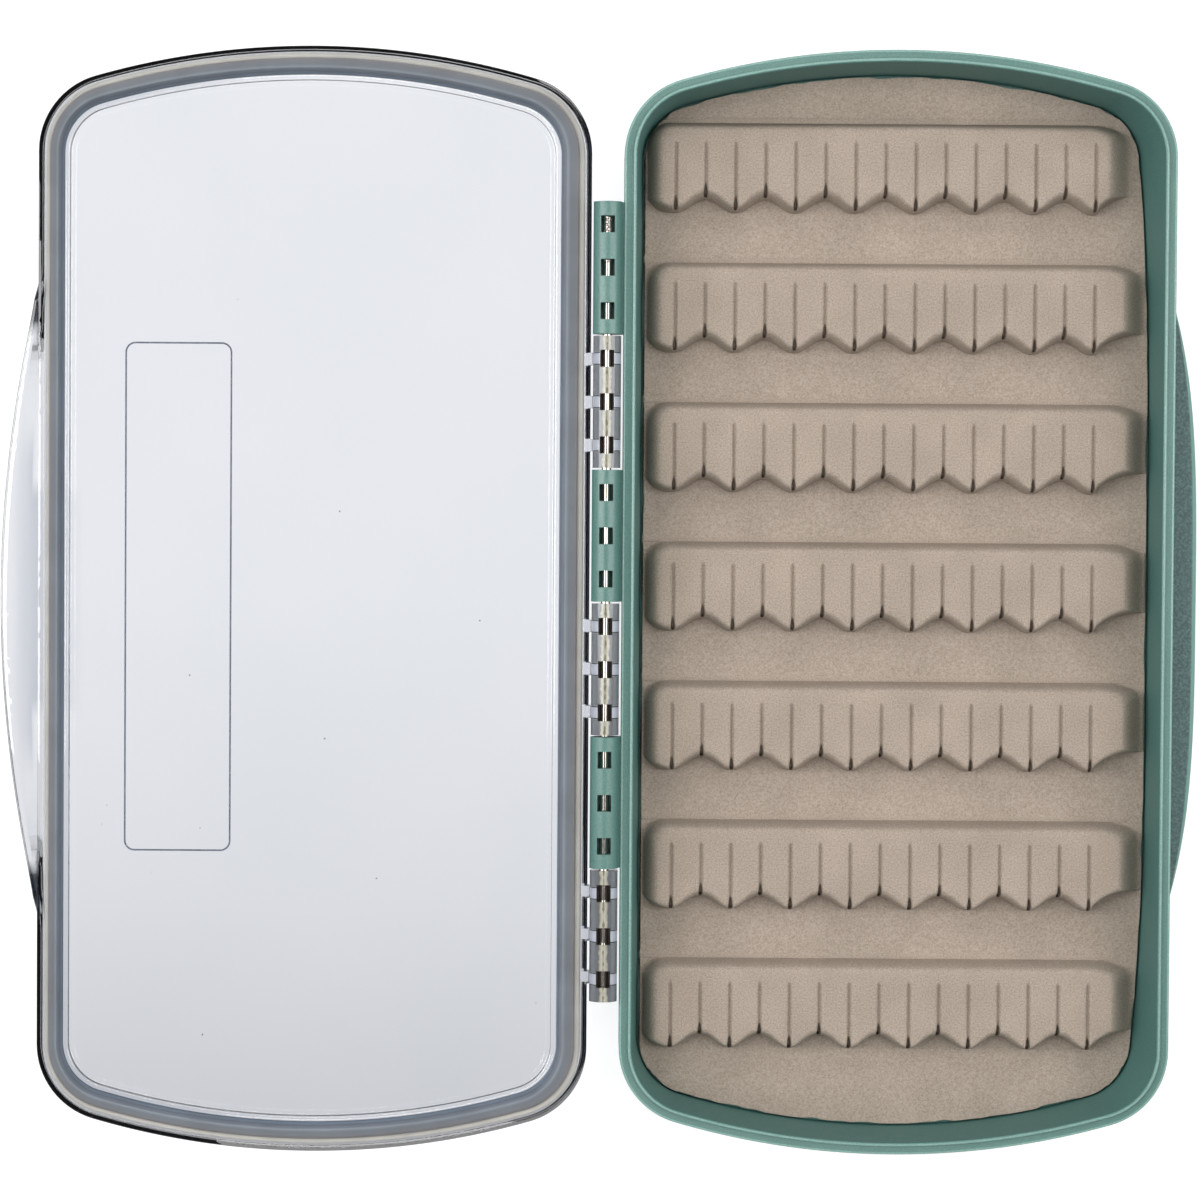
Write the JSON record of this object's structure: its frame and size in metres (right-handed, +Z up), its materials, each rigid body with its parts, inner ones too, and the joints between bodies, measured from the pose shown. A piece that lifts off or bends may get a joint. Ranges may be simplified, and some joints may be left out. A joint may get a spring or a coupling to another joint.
{
  "type": "fly box",
  "caption": "Slim fly box lying open: clear sealed lid pinned to a green tray with a ridged, slit foam mat that holds fishing flies.",
  "frame": {"origin": "middle of the hinge line, dropped to the plane that the tray rests on", "axes": "+X from the hinge across the tray, +Y along the hinge pin towards its knurled head, +Z up out of the open box"},
  "size_m": [0.2009, 0.1844, 0.0184],
  "materials": {
    "green_plastic": "moulded, satin",
    "clear_plastic": "clear, polished",
    "pin_steel": "drawn stainless wire, knurled head",
    "foam_mat": "moulded, fine matte grain",
    "adhesive_film": "thin film",
    "seal_rubber": "smooth, satin"
  },
  "bodies": {
    "base": {"base_tray": "green_plastic", "base_thumb_tab": "green_plastic", "base_knuckle_1": "green_plastic", "base_knuckle_2": "green_plastic", "base_knuckle_3": "green_plastic", "hinge_pin": "pin_steel", "mat_adhesive": "adhesive_film", "mat_sheet": "foam_mat", "fly_ridge_1": "foam_mat", "fly_ridge_2": "foam_mat", "fly_ridge_3": "foam_mat", "fly_ridge_4": "foam_mat", "fly_ridge_5": "foam_mat", "fly_ridge_6": "foam_mat", "fly_ridge_7": "foam_mat"},
    "lid": {"lid_shell": "clear_plastic", "lid_thumb_tab": "clear_plastic", "lid_knuckle_1": "clear_plastic", "lid_knuckle_2": "clear_plastic", "lid_knuckle_3": "clear_plastic", "lid_seal": "seal_rubber"}
  },
  "joints": [
    {"name": "lid_hinge", "type": "hinge", "parent": "base", "child": "lid", "pos_m": [0, 0, 0.016], "axis": [0, 1, 0], "range_deg": [0, 180]}
  ]
}
